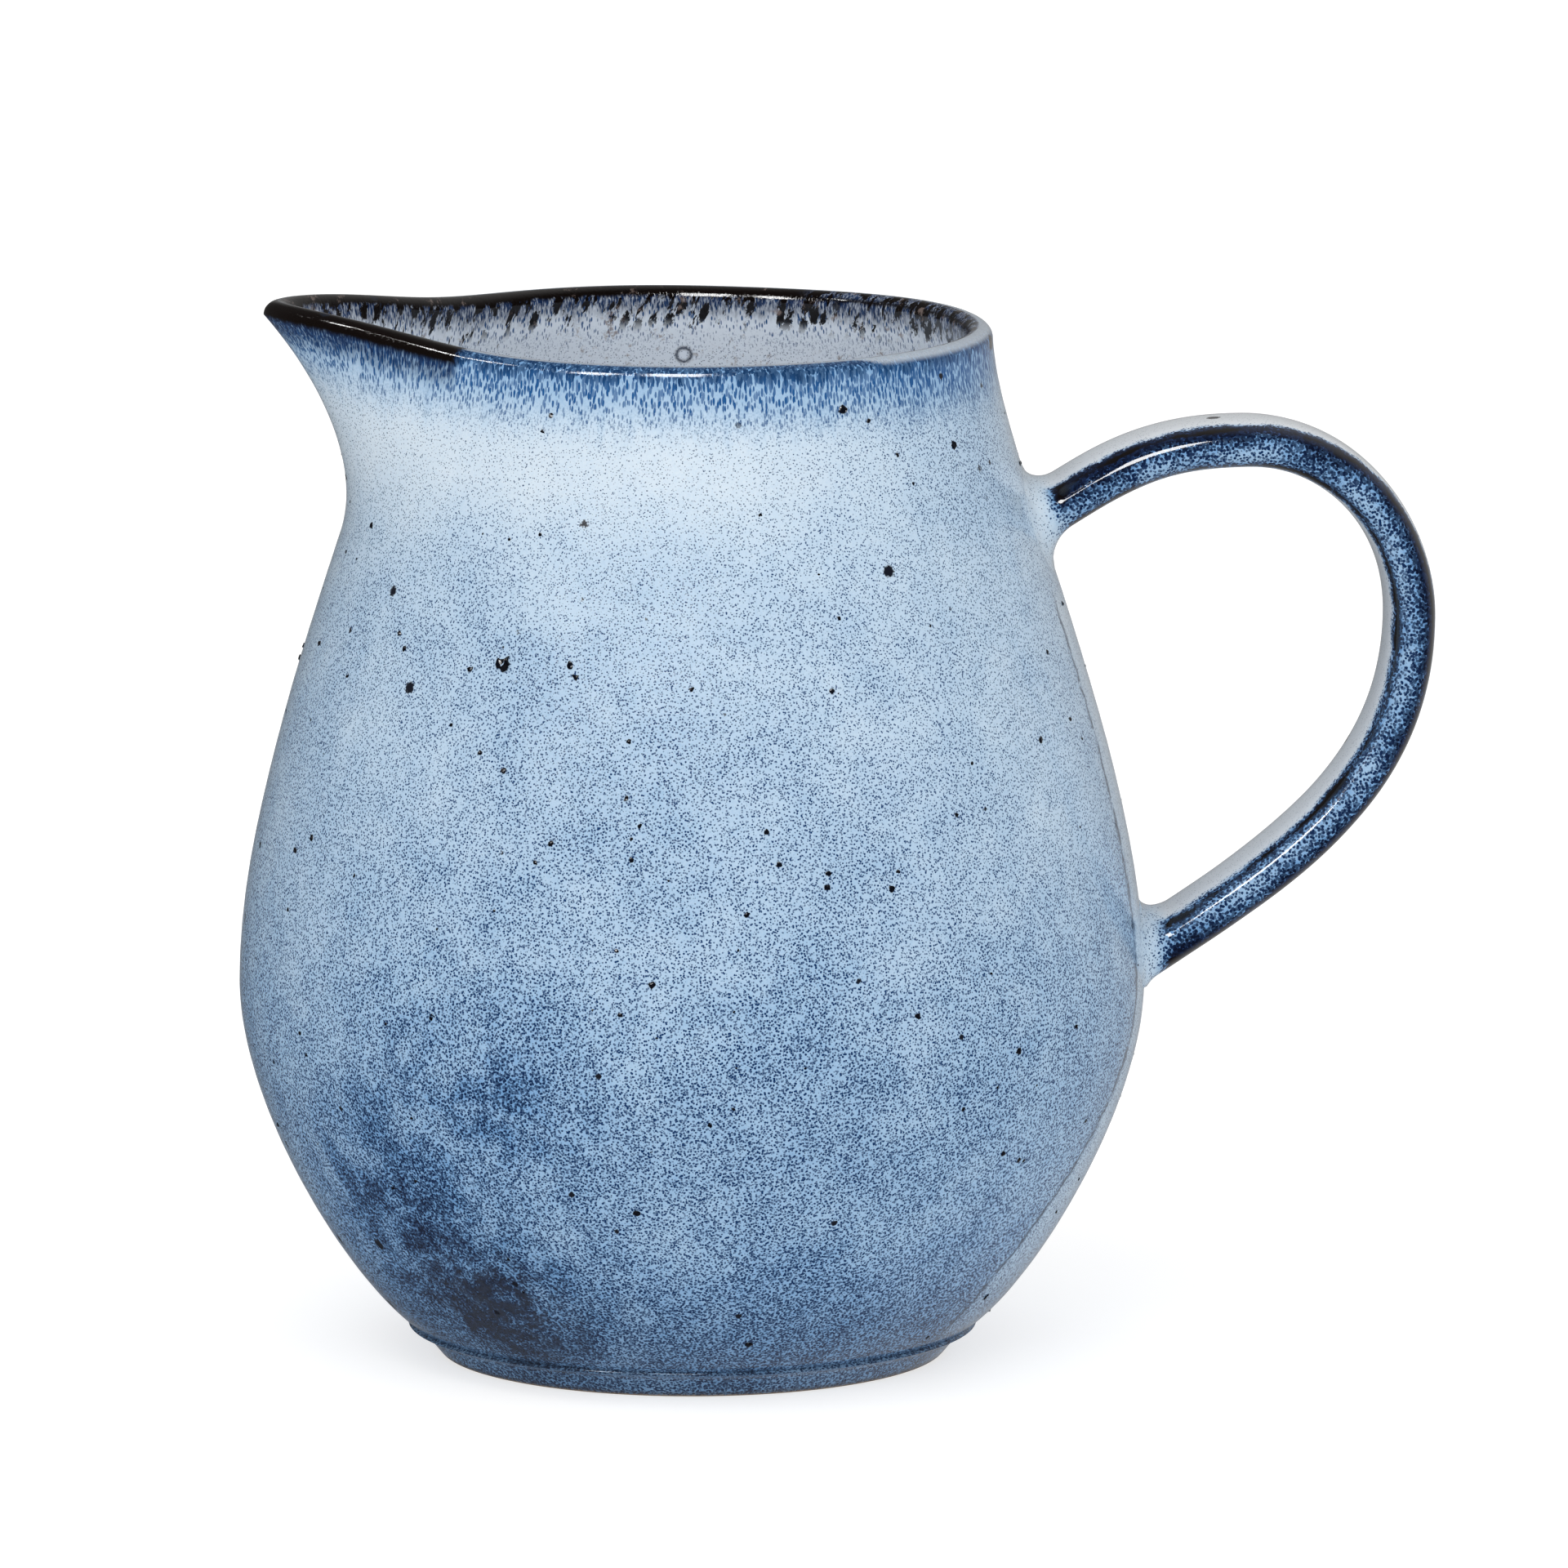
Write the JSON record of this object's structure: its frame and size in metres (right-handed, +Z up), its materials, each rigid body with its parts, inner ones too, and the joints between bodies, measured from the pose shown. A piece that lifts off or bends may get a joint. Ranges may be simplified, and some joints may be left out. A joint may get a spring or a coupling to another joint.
{
  "type": "ceramic pitcher",
  "caption": "Pear-shaped stoneware pitcher with a pulled pouring lip, a low turned foot ring and a looped strap handle luted on with slip collars, for holding and pouring drinks.",
  "frame": {"origin": "on the surface that the pitcher stands on, midway between the outermost point of the belly under the spout and the outermost point of the handle, in the plane of symmetry", "axes": "+Z up; +X from the spout towards the handle; +Y across the plane of symmetry. The axis that the vessel is turned about stands at x = -0.0225 m"},
  "size_m": [0.185, 0.14, 0.1645],
  "materials": {
    "pale_blue_glaze": "glossy pale blue reactive glaze with fine dark speckle, dark where it breaks over the rim",
    "deep_blue_glaze": "glossy deep blue reactive glaze with pale blue speckle",
    "foot_glaze": "glossy grey-blue glaze, wiped off the face that it stands on"
  },
  "bodies": {
    "root": {"body": "pale_blue_glaze", "foot_ring": "foot_glaze", "handle": "deep_blue_glaze", "upper_slip_collar": "pale_blue_glaze", "lower_slip_collar": "pale_blue_glaze"}
  },
  "joints": []
}
